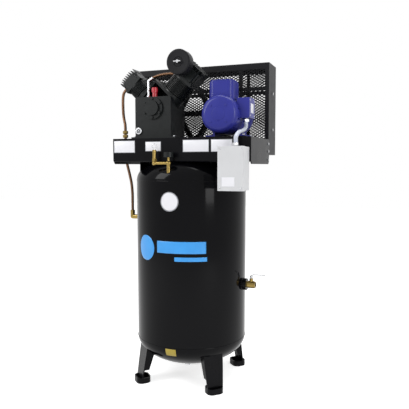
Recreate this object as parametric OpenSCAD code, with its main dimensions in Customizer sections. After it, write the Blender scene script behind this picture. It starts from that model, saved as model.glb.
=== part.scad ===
// Vertical two-stage air compressor: a tank on four legs carries a pump, a motor and a belt guard.
// Millimetres. The origin is on the tank axis at floor level, +Z up, the front looks along -Y.

/* [Tank] */
// Outside radius of the tank
tank_r = 305; // [250:1:380]
// Thickness of the tank wall
tank_wall = 5; // [3:0.5:8]
// Length of the straight shell
shell_len = 870; // [600:5:1200]
// Depth of each domed head
head_depth = 152; // [110:1:180]
// Gap between the floor and the lowest point of the tank
floor_gap = 88; // [60:1:140]
// Height of the outlet bung above the floor
outlet_z = 540; // [400:5:700]
// Height of the inlet bung above the floor
inlet_z = 890; // [760:5:1000]

/* [Legs] */
// Radius of the circle that the anchor holes lie on
foot_circle_r = 300; // [270:1:340]
// Diameter of each anchor hole
foot_hole_d = 16; // [10:0.5:24]
// Width of a leg where it meets the tank
foot_top_w = 108; // [80:1:140]
// Width of the foot pad
foot_pad_w = 90; // [60:1:120]
// Sheet thickness of a leg
foot_sheet = 6; // [4:0.5:10]

/* [Deck] */
// Reach of the deck to the left of the tank axis
deck_left = 354; // [340:1:420]
// Reach of the deck to the right of the tank axis
deck_right = 414; // [410:1:480]
// Reach of the deck to the front
deck_front = 250; // [240:1:300]
// Reach of the deck to the back
deck_back = 125; // [122:1:128]
// Height of the deck above the top of the tank
deck_rise = 70; // [55:1:100]
// Height of the aprons
apron_h = 135; // [100:1:160]
// Sheet thickness of the deck
deck_sheet = 5; // [3:0.5:8]

/* [Pump] */
// Position of the crankshaft left of the tank axis
crank_left = 170; // [160:1:180]
// Height of the crankshaft above the deck
crank_rise = 168; // [160:1:190]
// Width of the crankcase
crankcase_w = 214; // [204:1:224]
// Depth of the crankcase
crankcase_d = 190; // [180:1:200]
// Tilt of each cylinder from upright
bank_tilt = 45; // [42:1:48]
// Bore radius of the high-pressure cylinder
stage2_bore_r = 27; // [22:0.5:32]
// Bore radius of the low-pressure cylinder
stage1_bore_r = 46; // [40:0.5:50]
// Piston travel
stroke = 60; // [40:1:64]
// Radius of the air filter
filter_r = 66; // [50:1:72]

/* [Motor] */
// Position of the motor right of the tank axis
motor_right = 227; // [220:1:236]
// Height of the motor shaft above the deck
motor_rise = 120; // [114:0.5:130]
// Radius of the motor frame
motor_r = 98; // [86:1:102]
// Length of the motor frame between its end bells
motor_len = 210; // [180:1:220]
// Radius of the motor shaft
motor_shaft_r = 14.3; // [10:0.1:18]

/* [Drive] */
// Radius of the flywheel
flywheel_r = 200; // [170:1:206]
// Radius of the motor pulley
pulley_r = 65; // [50:1:72]
// Distance from the tank axis back to the middle of the belts
belt_y = 214; // [208:1:220]
// Width between the two belts, centre to centre
belt_pitch = 19; // [17:0.5:24]

/* [Guard] */
// Height of the guard
guard_h = 506; // [495:1:560]
// Depth of the guard
guard_d = 166; // [160:1:190]
// Reach of the guard to the left of the tank axis
guard_left = 400; // [385:1:440]
// Reach of the guard to the right of the tank axis
guard_right = 409; // [380:1:412]

/* [Starter] */
// Width of the starter box
starter_w = 127; // [100:1:140]
// Depth of the starter box
starter_d = 105; // [80:1:130]
// Height of the starter box
starter_h = 211; // [180:1:240]

/* [Hidden] */
$fn = 96;
fit = 0.05;
gap = 0.3;
over = 1;

tan_low = floor_gap + head_depth;
tan_high = tan_low + shell_len;
tank_top = tan_high + head_depth;
deck_z = tank_top + deck_rise;
apron_low = deck_z - apron_h;
crank_x = -crank_left;
crank_z = deck_z + crank_rise;
crankcase_back = 50;
crankcase_front = crankcase_back - crankcase_d;
motor_z = deck_z + motor_rise;
motor_front = -110;
motor_back = motor_front + motor_len;
guard_front = deck_back + 5;
guard_low = crank_z - 250;
bank_y = -45;
bolt_r = 4;
shaft_r = 17.5;
bearing_r = 36;
web_r = 58;
bank_base = 118;
pad_h = 4;
stage2_deck = 190;
stage2_top = 268;
stage1_deck = 218;
stage1_top = 318;
stage2_half = 58;
stage1_half = 70;

// a cylinder that lies along Y, from y0 to y1
module along_y(x, y0, y1, z, r)
    translate([x, y1, z]) rotate([90, 0, 0]) cylinder(r = r, h = y1 - y0);

// a cylinder that lies along X, from x0 to x1
module along_x(x0, x1, y, z, r)
    translate([x0, y, z]) rotate([0, 90, 0]) cylinder(r = r, h = x1 - x0);

// a box between two corners
module span(a, b)
    translate(a) cube(b - a);

// a round bar between two points
module bar(a, b, r) {
    v = b - a;
    translate(a)
        rotate([0, acos(v.z / norm(v)), atan2(v.y, v.x)])
            cylinder(r = r, h = norm(v));
}

// a path with its corners cut n times, so that it bends smoothly
function smooth(p, n = 3) = n == 0 ? p : smooth(concat([p[0]],
    [for (i = [0:len(p) - 2]) each [
        i == 0 ? (p[0] + p[1]) / 2 : 0.75 * p[i] + 0.25 * p[i + 1],
        i == len(p) - 2 ? (p[i] + p[i + 1]) / 2 : 0.25 * p[i] + 0.75 * p[i + 1]]],
    [p[len(p) - 1]]), n - 1);

function unit(v) = v / norm(v);

// a round tube swept along a smoothed path; side is a direction that the path never runs along
module run(points, r, side = [0, 1, 0], sides = 12) {
    path = smooth(points);
    n = len(path);
    way = [for (i = [0:n - 1]) unit(path[min(i + 1, n - 1)] - path[max(i - 1, 0)])];
    rings = [for (i = [0:n - 1])
        let (u = unit(cross(way[i], side)), v = cross(way[i], u))
            for (k = [0:sides - 1]) path[i] + r * (cos(360 * k / sides) * u + sin(360 * k / sides) * v)];
    walls = [for (i = [0:n - 2], k = [0:sides - 1])
        let (k1 = (k + 1) % sides)
            each [[i * sides + k, i * sides + k1, (i + 1) * sides + k1],
                [i * sides + k, (i + 1) * sides + k1, (i + 1) * sides + k]]];
    polyhedron(rings, concat([[for (k = [sides - 1:-1:0]) k]], walls,
        [[for (k = [0:sides - 1]) (n - 1) * sides + k]]));
}

// a plate with round corners between two corner points, from z0 to z1
module rounded_plate(a, b, r, z0, z1) {
    translate([0, 0, z0]) linear_extrude(z1 - z0)
        union() {
            translate([a.x + r, a.y]) square([b.x - a.x - 2 * r, b.y - a.y]);
            translate([a.x, a.y + r]) square([b.x - a.x, b.y - a.y - 2 * r]);
            for (x = [a.x + r, b.x - r], y = [a.y + r, b.y - r])
                translate([x, y]) circle(r = r);
        }
}

// points along a quarter ellipse from the rim to the pole
function dome(r, h, n = 14) = [for (i = [0:n]) [i == n ? 0 : r * cos(90 * i / n), h * sin(90 * i / n)]];

// ---- tank ----

module tank_shell() color([0.05, 0.05, 0.06])
    difference() {
        translate([0, 0, tan_low]) cylinder(r = tank_r, h = shell_len);
        translate([0, 0, tan_low - over]) cylinder(r = tank_r - tank_wall, h = shell_len + 2 * over);
        along_x(0, tank_r + over, 0, outlet_z, bung_r);
        along_x(-tank_r - over, 0, 0, inlet_z, inlet_bung_r);
    }

// a domed head with its rim at z = 0
module head_shell()
    rotate_extrude()
        polygon(concat(dome(tank_r, head_depth), reverse(dome(tank_r - tank_wall, head_depth - tank_wall))));

function reverse(v) = [for (i = [len(v) - 1:-1:0]) v[i]];

module tank_top_head() color([0.05, 0.05, 0.06])
    translate([0, 0, tan_high]) head_shell();

module tank_bottom_head() color([0.05, 0.05, 0.06])
    difference() {
        translate([0, 0, tan_low]) mirror([0, 0, 1]) head_shell();
        translate([0, 0, floor_gap - over]) cylinder(r = drain_r, h = 2 * tank_wall);
    }

// ---- legs ----

leg_spread = foot_circle_r;
leg_top_r = 262;
leg_top_z = 205;

// one pressed leg that points along +X: a web, two side flanges and a pad with a turned-down rim
module leg() {
    pad_in = leg_spread - 42;
    pad_out = leg_spread + 36;
    color([0.06, 0.06, 0.07])
    difference() {
        union() {
            rotate([90, 0, 0]) translate([0, 0, -foot_top_w / 2])
                linear_extrude(foot_top_w)
                    polygon([[leg_top_r - 30, leg_top_z], [leg_top_r, leg_top_z + 22],
                        [leg_top_r + 24, leg_top_z], [leg_spread + 12, 34], [leg_spread + 12, foot_sheet],
                        [leg_spread - 14, foot_sheet], [leg_spread - 14, 34]]);
            rounded_plate([pad_in, -foot_pad_w / 2], [pad_out, foot_pad_w / 2], 30, 0, 30);
        }
        // the hollow behind the web
        rotate([90, 0, 0]) translate([0, 0, -foot_top_w / 2 + foot_sheet])
            linear_extrude(foot_top_w - 2 * foot_sheet)
                polygon([[leg_top_r - 60, leg_top_z + 60], [leg_top_r + 24 - foot_sheet, leg_top_z + 60],
                    [leg_top_r + 24 - foot_sheet, leg_top_z], [leg_spread + 12 - foot_sheet, 34],
                    [leg_spread + 12 - foot_sheet, 30], [leg_spread - 60, 30]]);
        // the tapered outline
        for (s = [-1, 1])
            rotate([90, 0, 90]) translate([0, 0, leg_top_r - 100])
                linear_extrude(200)
                    polygon([[s * foot_pad_w / 2, 30], [s * (foot_top_w / 2 + 5), leg_top_z + 30],
                        [s * foot_top_w, leg_top_z + 30], [s * foot_top_w, 0], [s * foot_pad_w / 2, 0]]);
        // the hollow under the pad leaves a deep rim
        rounded_plate([pad_in + foot_sheet, -foot_pad_w / 2 + foot_sheet],
            [pad_out - foot_sheet, foot_pad_w / 2 - foot_sheet], 24, foot_sheet, 30 + over);
        translate([leg_spread, 0, -over]) cylinder(d = foot_hole_d, h = foot_sheet + 2 * over);
        // the tank sits in the leg
        tank_outline();
    }
}

// the solid outer shape of the lower part of the tank
module tank_outline() {
    translate([0, 0, tan_low]) mirror([0, 0, 1])
        rotate_extrude() polygon(concat(dome(tank_r, head_depth), [[0, 0]]));
    translate([0, 0, tan_low - fit]) cylinder(r = tank_r, h = 100);
}

module foot_front_left() rotate([0, 0, 225]) leg();
module foot_front_right() rotate([0, 0, 315]) leg();
module foot_rear_left() rotate([0, 0, 135]) leg();
module foot_rear_right() rotate([0, 0, 45]) leg();

// ---- outlet with its ball valve ----

bung_r = 32;
pipe_r = 13;
bung_end = tank_r + 22;
valve_end = bung_end + 48;
valve_x = (bung_end + valve_end) / 2;
ball_r = 13;
port_depth = 10;
port_r = 9.5;
stem_r = 4.5;
lever_z = outlet_z + 52;

module outlet_bung() color([0.05, 0.05, 0.06])
    difference() {
        along_x(tank_r - tank_wall - 4, bung_end, 0, outlet_z, bung_r);
        along_x(tank_r - tank_wall - 6, bung_end + over, 0, outlet_z, pipe_r);
        // the face inside the tank is cut round by the shell's inner wall
        translate([0, 0, outlet_z - bung_r - over])
            cylinder(r = tank_r - tank_wall, h = 2 * bung_r + 2 * over);
    }

module ball_valve_body() color([0.71, 0.6, 0.28])
    difference() {
        union() {
            along_x(bung_end - 14, bung_end, 0, outlet_z, pipe_r);
            along_x(bung_end, bung_end + 13, 0, outlet_z, 17);
            along_x(bung_end + 8, valve_end - 8, 0, outlet_z, 20);
            along_x(valve_end - 12, valve_end, 0, outlet_z, 17.5);
            translate([valve_x, 0, outlet_z]) cylinder(r = 10, h = 34);
        }
        along_x(bung_end - 15, valve_end + over, 0, outlet_z, port_r);
        along_x(valve_end - port_depth, valve_end + over, 0, outlet_z, 12);
        translate([valve_x, 0, outlet_z]) sphere(r = ball_r + gap);
        translate([valve_x, 0, outlet_z]) cylinder(r = stem_r + gap, h = 40);
    }

module ball_valve_ball() color("silver")
    union() {
        difference() {
            translate([valve_x, 0, outlet_z]) sphere(r = ball_r);
            along_x(valve_x - 20, valve_x + 20, 0, outlet_z, port_r);
        }
        translate([valve_x, 0, outlet_z + port_r + 0.5])
            cylinder(r = stem_r, h = lever_z - outlet_z - port_r - 0.5);
    }

module ball_valve_lever() color([0.62, 0.62, 0.6])
    difference() {
        union() {
            span([valve_x - 9, -9, lever_z - 14], [valve_x + 9, 9, lever_z - 11]);
            span([valve_x + 6, -9, lever_z - 14], [valve_x + 9, 9, lever_z + 5]);
            span([valve_x + 6, -9, lever_z + 2], [valve_x + 78, 9, lever_z + 5]);
        }
        translate([valve_x, 0, lever_z - 20]) cylinder(r = stem_r + fit, h = 12);
    }

// ---- inlet, check valve and discharge line ----

riser_r = 8;
riser_x = -(tank_r + 70);
inlet_face = tank_r + 8;
inlet_bung_r = 28;

module inlet_bung() color([0.05, 0.05, 0.06])
    difference() {
        along_x(-inlet_face, -tank_r + tank_wall + 4, 0, inlet_z, inlet_bung_r);
        along_x(-inlet_face - over, -tank_r + tank_wall + 6, 0, inlet_z, 11);
        translate([0, 0, inlet_z - 30]) cylinder(r = tank_r - tank_wall, h = 60);
    }

module check_valve() color([0.71, 0.6, 0.28])
    difference() {
        union() {
            along_x(-inlet_face, -inlet_face + 12, 0, inlet_z, 11);
            translate([-inlet_face - 6, 0, inlet_z]) rotate([0, 90, 0])
                cylinder(r = 17, h = 12, center = true, $fn = 6);
            along_x(riser_x, -inlet_face, 0, inlet_z, 13);
            translate([riser_x, 0, inlet_z]) sphere(r = 13);
            translate([riser_x, 0, inlet_z]) cylinder(r = 13, h = 22);
            translate([riser_x, 0, inlet_z + 22]) cylinder(r = 15, h = 16, $fn = 6);
        }
        translate([riser_x, 0, inlet_z]) cylinder(r = riser_r, h = 60);
        along_x(riser_x, -inlet_face + 13, 0, inlet_z, 7);
    }

// the line drops from the pump past the left end of the deck
drop_y = -60;
stage2_out = bank_point(-1, stage2_top - 30, 0);
elbow_x = -deck_left - 30;
module riser_tube() color([0.6, 0.42, 0.3])
    run([[elbow_x, drop_y, deck_z + 20], [elbow_x, drop_y, apron_low + 30],
        [riser_x, drop_y / 2, apron_low - 60], [riser_x, 0, apron_low - 140],
        [riser_x, 0, inlet_z + 38]], riser_r, [0, 1, 0]);

// the tube leaves the low side of the head square to it
out_face = stage2_half - 4;
function out_point(d) = [stage2_out.x - d * cos(bank_tilt), bank_y, stage2_out.z - d * sin(bank_tilt)];
bow_x = out_point(out_face).x - 30;
module discharge_tube() color([0.55, 0.5, 0.42])
    run([out_point(out_face), out_point(out_face + 16), [bow_x, bank_y, out_point(out_face).z - 34],
        [bow_x, bank_y, out_point(out_face).z - 130], [bow_x + 6, bank_y, deck_z + 120],
        [elbow_x, drop_y, deck_z + 90], [elbow_x, drop_y, deck_z + 20 + gap]], riser_r, [0, 1, 0]);

// ---- drain ----

drain_r = 11;
module drain_valve() color([0.71, 0.6, 0.28])
    difference() {
        union() {
            translate([0, 0, floor_gap - 16]) cylinder(r = drain_r, h = 16 + tank_wall);
            translate([0, 0, floor_gap - 26]) cylinder(r = 14, h = 12, $fn = 6);
            along_y(0, -44, 0, floor_gap - 20, 8);
        }
        along_y(0, -45, -8, floor_gap - 20, 4 + gap);
        translate([0, 0, floor_gap - 30]) cylinder(r = 3, h = 40);
    }

module drain_handle() color("silver")
    union() {
        along_y(0, -62, -12, floor_gap - 20, 4);
        span([-16, -66, floor_gap - 23], [16, -62, floor_gap - 17]);
    }

// ---- deck ----

module deck() color([0.06, 0.06, 0.07])
    difference() {
        span([-deck_left, -deck_front, apron_low], [deck_right, deck_back, deck_z]);
        // open underneath and at the back
        span([-deck_left + deck_sheet, -deck_front + deck_sheet, apron_low - over],
            [deck_right - deck_sheet, deck_back + over, deck_z - deck_sheet]);
        // chamfers at the low corners of the front apron and of the side aprons
        for (x = [-deck_left, deck_right])
            translate([x, -deck_front - over, apron_low]) rotate([-90, 0, 0])
                linear_extrude(deck_sheet + 2 * over)
                    polygon([[-16, 0], [0, -16], [16, 0], [0, 16]]);
        for (y = [-deck_front, deck_back])
            translate([-deck_left - over, y, apron_low]) rotate([90, 0, 90])
                linear_extrude(deck_left + deck_right + 2 * over)
                    polygon([[-16, 0], [0, 16], [16, 0], [0, -16]]);
        deck_holes();
    }

// bolt places on the deck: the pump's feet, then the motor base
function pump_bolts() = [for (x = [-1, 1], y = [crankcase_front + 18, crankcase_back - 18])
    [crank_x + x * (crankcase_w / 2 + 12), y]];
function motor_bolts() = [for (x = [-1, 1], y = [motor_front + 40, motor_back - 40])
    [motor_right + x * 95, y]];

apron_bolt_y = deck_back - 28;
function apron_bolts() = [for (t = [0.18, 0.48, 0.82]) deck_z - t * apron_h];

module deck_holes() {
    for (z = apron_bolts())
        along_x(deck_right - 2 * deck_sheet, deck_right + over, apron_bolt_y, z, bolt_r + fit);
    for (p = concat(pump_bolts(), motor_bolts()))
        translate([p.x, p.y, deck_z - 2 * deck_sheet]) cylinder(r = bolt_r + fit, h = 3 * deck_sheet);
}

support_x = 205;
module deck_supports() color([0.06, 0.06, 0.07])
    for (s = [-1, 1])
        difference() {
            span([s * support_x - 30, -170, tan_high + 20], [s * support_x + 30, 118, deck_z - deck_sheet]);
            span([s * support_x - 25, -171, tan_high], [s * support_x + 25, 119, deck_z - 2 * deck_sheet]);
            translate([0, 0, tan_high]) rotate_extrude()
                polygon(concat(dome(tank_r, head_depth), [[0, 0]]));
            translate([0, 0, tan_high - 50]) cylinder(r = tank_r, h = 50 + fit);
            deck_holes();
        }

// ---- pump ----

// a place on a bank: side -1 is the second, high-pressure stage, d is along the bank, y is off its middle
function bank_point(side, d, y) =
    [crank_x + side * d * sin(bank_tilt), bank_y + y, crank_z + d * cos(bank_tilt)];

// puts +Z along a bank, with the origin on the crank axis
module on_bank(side)
    translate([crank_x, bank_y, crank_z]) rotate([0, side * bank_tilt, 0]) children();

// the crankcase outline seen from the front: a box with a face for each bank
module crankcase_outline(inset) {
    w = crankcase_w / 2 - inset;
    face = bank_base - pad_h - inset;
    polygon([[-w, inset - crank_rise], [w, inset - crank_rise],
        [w, (face - w * sin(bank_tilt)) / cos(bank_tilt)], [0, face / cos(bank_tilt)],
        [-w, (face - w * sin(bank_tilt)) / cos(bank_tilt)]]);
}

foot_reach = 26;
module crankcase() color([0.13, 0.14, 0.14])
    difference() {
        union() {
            translate([crank_x, crankcase_back, crank_z]) rotate([90, 0, 0])
                linear_extrude(crankcase_d) crankcase_outline(0);
            // the feet run along both sides
            span([crank_x - crankcase_w / 2 - foot_reach, crankcase_front, deck_z],
                [crank_x + crankcase_w / 2 + foot_reach, crankcase_back, deck_z + 14]);
            on_bank(-1) translate([0, 0, bank_base - 40]) cylinder(r = stage2_half, h = 40);
            on_bank(1) translate([0, 0, bank_base - 40]) cylinder(r = stage1_half, h = 40);
        }
        translate([crank_x, crankcase_back - 16, crank_z]) rotate([90, 0, 0])
            linear_extrude(crankcase_d - 30) crankcase_outline(12);
        along_y(crank_x, crankcase_front - over, crankcase_back + over, crank_z, bearing_r);
        along_y(crank_x, crankcase_front - over, crankcase_front + 20, crank_z, spigot_r + fit);
        on_bank(-1) cylinder(r = stage2_bore_r + 5, h = bank_base + over);
        on_bank(1) cylinder(r = stage1_bore_r + 5, h = bank_base + over);
        for (p = pump_bolts())
            translate([p.x, p.y, deck_z - over]) cylinder(r = bolt_r + fit, h = 20);
        // the step at the front, the oil sight glass, the oil filler and the breather
        span([crank_x - crankcase_w, crankcase_front - over, step_z],
            [crank_x + crankcase_w, crankcase_front + step_d, crank_z + 2 * bank_base]);
        along_y(sight_x, crankcase_front - over, crankcase_front + 30, sight_z, 14);
        translate([cap_x, step_y, step_z - 60]) cylinder(r = 11, h = 100);
        translate([breather_x, step_y, step_z - 60]) cylinder(r = breather_r + fit, h = 100);
    }

sight_x = crank_x - 84;
sight_z = deck_z + 46;
step_z = crank_z + 62;
step_d = 36;
step_y = crankcase_front + step_d / 2;
cap_x = crank_x + 4;
breather_r = 6;
breather_x = crank_x - 34;

cover_r = 60;
cover_bolt_r = 50;
spigot_r = 46;
module cover_bolt_place(a, y)
    translate([crank_x + cover_bolt_r * cos(a), y, crank_z + cover_bolt_r * sin(a)])
        rotate([90, 0, 0]) children();

module front_bearing_cover() color([0.15, 0.16, 0.16])
    difference() {
        union() {
            along_y(crank_x, crankcase_front - 10, crankcase_front, crank_z, cover_r);
            along_y(crank_x, crankcase_front - over, crankcase_front + 16, crank_z, spigot_r);
            along_y(crank_x, crankcase_front - 22, crankcase_front - 9, crank_z, bearing_r + 4);
        }
        along_y(crank_x, crankcase_front - 14, crankcase_front + 20, crank_z, bearing_r);
        for (a = [30:60:330])
            cover_bolt_place(a, crankcase_front + 10) cylinder(r = bolt_r + fit, h = 30);
    }

front_bearing_y = crankcase_front - 13;
rear_bearing_y = crankcase_back - 18;
module crank_bearings() color("silver")
    for (y = [front_bearing_y, rear_bearing_y])
        difference() {
            along_y(crank_x, y, y + 18, crank_z, bearing_r);
            along_y(crank_x, y - over, y + 19, crank_z, shaft_r + fit);
        }

web_gap = 30;
crank_web = 14;
flywheel_half = belt_pitch;
// the crank pin is left out: the banks slide on their own, so each web turns as a full disc
module crankshaft() color("silver")
    union() {
        along_y(crank_x, front_bearing_y, bank_y - web_gap, crank_z, shaft_r);
        along_y(crank_x, bank_y - web_gap - crank_web, bank_y - web_gap, crank_z, web_r);
        along_y(crank_x, bank_y + web_gap, bank_y + web_gap + crank_web, crank_z, web_r);
        along_y(crank_x, bank_y + web_gap, belt_y + flywheel_half + 12, crank_z, shaft_r);
    }

// the two belt grooves in the rim of a wheel
module groove_cuts(x, z, r)
    for (s = [-1, 1])
        translate([x, belt_y + s * belt_pitch / 2, z]) rotate([90, 0, 0])
            rotate_extrude()
                polygon([[r - belt_h, -3.5], [r + over, -6.6], [r + over, 6.6], [r - belt_h, 3.5]]);

belt_h = 10;
module flywheel() color([0.16, 0.16, 0.17])
    difference() {
        union() {
            difference() {
                along_y(crank_x, belt_y - flywheel_half, belt_y + flywheel_half, crank_z, flywheel_r);
                along_y(crank_x, belt_y - flywheel_half - over, belt_y + flywheel_half + over, crank_z,
                    flywheel_r - 24);
            }
            along_y(crank_x, belt_y - flywheel_half, belt_y + flywheel_half, crank_z, 40);
            for (a = [0:60:300])
                translate([crank_x, belt_y, crank_z]) rotate([0, a, 0])
                    span([34, -8, -15], [flywheel_r - 20, 8, 15]);
        }
        groove_cuts(crank_x, crank_z, flywheel_r);
        along_y(crank_x, belt_y - 60, belt_y + 60, crank_z, shaft_r + fit);
    }

// a finned barrel from the crankcase face to the head
module barrel(side, bore, half, top) {
    wall = 9;
    difference() {
        union() {
            on_bank(side) translate([0, 0, bank_base]) cylinder(r = bore + wall, h = top - bank_base);
            on_bank(side) translate([0, 0, bank_base]) cylinder(r = half, h = 9);
            on_bank(side) for (d = [bank_base + 16:8:top - 6])
                translate([0, 0, d]) cylinder(r = half, h = 3.5);
            on_bank(side) translate([0, 0, top - 7]) cylinder(r = half, h = 7);
        }
        on_bank(side) cylinder(r = bore, h = top + over);
    }
}

module stage2_cylinder() color([0.12, 0.12, 0.13]) barrel(-1, stage2_bore_r, stage2_half, stage2_deck);
module stage1_cylinder() color([0.12, 0.12, 0.13]) barrel(1, stage1_bore_r, stage1_half, stage1_deck);

// a finned head: a solid block with ribs on top and a cavity over the bore
module head_block(side, bore, half, low, top) {
    difference() {
        union() {
            on_bank(side) translate([-half, -half, low]) cube([2 * half, 2 * half, 16]);
            on_bank(side) translate([-half + 4, -half + 4, low])
                cube([2 * half - 8, 2 * half - 8, top - low - 22]);
            on_bank(side) for (i = [-4:4])
                translate([i * (half - 4) / 4 - 2, -half + 4, top - 22 - over])
                    cube([4, 2 * half - 8, 22 + over]);
        }
        on_bank(side) translate([0, 0, low - over]) cylinder(r = bore, h = top - low - 34);
        for (x = [-1, 1], y = [-1, 1])
            on_bank(side) translate([x * (half - 9), y * (half - 9), low - over]) {
                cylinder(r = bolt_r + fit, h = top);
                translate([0, 0, 16 + over]) cylinder(r = head_r + 3, h = top);
            }
    }
}

module stage2_head() color([0.12, 0.12, 0.13])
    head_block(-1, stage2_bore_r, stage2_half, stage2_deck, stage2_top);
module stage1_head() color([0.12, 0.12, 0.13])
    union() {
        head_block(1, stage1_bore_r, stage1_half, stage1_deck, stage1_top);
        // the intake boss that carries the filter
        translate([filter_x, filter_y1, filter_z]) rotate([-90, 0, 0])
            difference() {
                cylinder(r = 26, h = 60 + over);
                translate([0, 0, -over]) cylinder(r = 12, h = 40);
            }
    }

// piston and rod of one bank: they slide together along the bore
piston_len = 42;
rod_low = 44;
module piston(side, bore, low) {
    crown = low - 6 - stroke / 2;
    on_bank(side) union() {
        difference() {
            translate([0, 0, crown - piston_len]) cylinder(r = bore - fit, h = piston_len);
            translate([0, 0, crown - piston_len - over]) cylinder(r = bore - 7, h = piston_len - 12);
        }
        translate([-9, -7, rod_low + stroke / 2]) cube([18, 14, crown - 12 - rod_low - stroke / 2]);
    }
}

module stage2_piston() color("silver") piston(-1, stage2_bore_r, stage2_deck);
module stage1_piston() color("silver") piston(1, stage1_bore_r, stage1_deck);

// ---- intake, intercooler and pump fittings ----

filter_x = 4;
filter_z = deck_z + 395;
filter_y1 = bank_y - stage1_half - 20;
filter_y0 = filter_y1 - 62;

module filter_housing() color([0.2, 0.2, 0.21])
    difference() {
        union() {
            along_y(filter_x, filter_y0 + 12, filter_y1, filter_z, filter_r);
            along_y(filter_x, filter_y0 + 4, filter_y1, filter_z, 5);
        }
        difference() {
            along_y(filter_x, filter_y0, filter_y1 - 4, filter_z, filter_r - 3);
            along_y(filter_x, filter_y0 - 9, filter_y1, filter_z, 5);
        }
        for (a = [45:90:315])
            translate([filter_x + 14 * cos(a), filter_y1 + over, filter_z + 14 * sin(a)]) rotate([90, 0, 0])
                cylinder(r = 5, h = 8);
    }

module filter_cover() color([0.22, 0.22, 0.23])
    difference() {
        along_y(filter_x, filter_y0, filter_y0 + 12 - fit, filter_z, filter_r);
        along_y(filter_x, filter_y0 + 4, filter_y0 + 13, filter_z, filter_r - 3);
        along_y(filter_x, filter_y0 - over, filter_y0 + 5, filter_z, 5 + fit);
    }

module filter_element() color([0.85, 0.8, 0.6])
    difference() {
        along_y(filter_x, filter_y0 + 6, filter_y1 - 4.5, filter_z, filter_r - 9);
        along_y(filter_x, filter_y0 + 5, filter_y1 - 4, filter_z, filter_r - 30);
    }

module wing_nut() color("silver")
    difference() {
        union() {
            along_y(filter_x, filter_y0 - 10, filter_y0 - gap, filter_z, 8);
            span([filter_x - 20, filter_y0 - 15, filter_z - 2.5],
                [filter_x + 20, filter_y0 - 5, filter_z + 2.5]);
        }
        along_y(filter_x, filter_y0 - 8, filter_y0 + over, filter_z, 3);
    }

// the intercooler leaves each head at its back and crosses behind the banks
cooler_y = bank_y + 100;
module intercooler_tube() color([0.55, 0.5, 0.42])
    run([bank_point(-1, stage2_top - 40, stage2_half - 3), bank_point(-1, stage2_top - 40, 95),
        [crank_x - 60, cooler_y, crank_z + 215], [crank_x + 70, cooler_y, crank_z + 215],
        bank_point(1, stage1_top - 60, 100), bank_point(1, stage1_top - 60, stage1_half - 3)],
        9, [0.3, 0.2, 1]);

module oil_sight_glass() color([0.8, 0.82, 0.84])
    difference() {
        union() {
            along_y(sight_x, crankcase_front - 8, crankcase_front, sight_z, 19);
            along_y(sight_x, crankcase_front, crankcase_front + 12, sight_z, 14 - fit);
        }
        along_y(sight_x, crankcase_front - 9, crankcase_front - 4, sight_z, 13);
    }

module oil_cap() color([0.65, 0.12, 0.17])
    union() {
        translate([cap_x, step_y, step_z + gap]) cylinder(r = 13, h = 26);
        translate([cap_x, step_y, step_z + 24]) cylinder(r = 16, h = 26);
        translate([cap_x, step_y, step_z + 30]) cylinder(r = 17.5, h = 12, $fn = 12);
        translate([cap_x, step_y, step_z - 12]) cylinder(r = 11 - gap, h = 14);
    }

module breather_tube() color([0.8, 0.81, 0.83])
    difference() {
        union() {
            translate([breather_x, step_y, step_z - 12]) cylinder(r = breather_r, h = 100);
            translate([breather_x, step_y, step_z + 88]) sphere(r = breather_r);
            bar([breather_x, step_y, step_z + 88], [breather_x + 26, step_y, step_z + 104], breather_r);
            translate([breather_x, step_y, step_z]) cylinder(r = 10, h = 9, $fn = 6);
        }
        bar([breather_x + 10, step_y, step_z + 94.2], [breather_x + 36, step_y, step_z + 110.2], 4);
    }

// ---- motor ----

bell_len = 92;
module motor_frame() color([0.2, 0.21, 0.54])
    difference() {
        union() {
            along_y(motor_right, motor_front, motor_back, motor_z, motor_r);
            for (s = [-1, 1])
                span([motor_right + s * 82 - 26, motor_front + 20, motor_foot_z],
                    [motor_right + s * 82 + 26, motor_back - 20, motor_foot_z + 8]);
            for (s = [-1, 1])
                span([motor_right + s * 64 - 6, motor_front + 24, motor_foot_z],
                    [motor_right + s * 64 + 6, motor_back - 24, motor_z - 60]);
        }
        along_y(motor_right, motor_front - over, motor_back + over, motor_z, motor_r - 6);
        for (p = motor_bolts())
            translate([p.x, p.y, motor_foot_z - over]) cylinder(r = bolt_r + fit, h = 12);
    }

motor_foot_z = deck_z + 10;
module motor_base() color([0.06, 0.06, 0.07])
    difference() {
        rounded_plate([motor_right - 125, motor_front - 12], [motor_right + 125, motor_back - 6], 8,
            deck_z, motor_foot_z);
        for (p = motor_bolts())
            translate([p.x, p.y, deck_z - over]) cylinder(r = bolt_r + fit, h = 14);
    }

// half the section of an end bell: a disc of radius r and this depth with a round rim
module bell_section(r, depth, round)
    polygon(concat([[0, 0], [r, 0]],
        [for (a = [0:15:90]) [r - round + round * cos(a), depth - round + round * sin(a)]], [[0, depth]]));

// an end bell that closes the frame at y towards dir, and vents round the rim
module bell(y, dir, depth) {
    round = min(30, depth / 2);
    difference() {
        translate([motor_right, y, motor_z]) rotate([dir > 0 ? -90 : 90, 0, 0])
            rotate_extrude() bell_section(motor_r, depth, round);
        translate([motor_right, y - dir * over, motor_z]) rotate([dir > 0 ? -90 : 90, 0, 0])
            rotate_extrude() bell_section(motor_r - 8, depth - 7, round - 6);
        along_y(motor_right, y - 200, y + 200, motor_z, motor_shaft_r + gap);
        if (depth > 60)
            for (a = [15:30:345])
                if (abs(sin(a)) < 0.9)
                    translate([motor_right, y + dir * depth / 2, motor_z]) rotate([0, a, 0])
                        translate([motor_r - 20, -12, -5]) cube([40, 24, 10]);
    }
}

module motor_front_bell() color([0.2, 0.21, 0.54]) bell(motor_front, -1, bell_len);
module motor_rear_bell() color([0.2, 0.21, 0.54])
    bell(motor_back, 1, 24);

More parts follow.
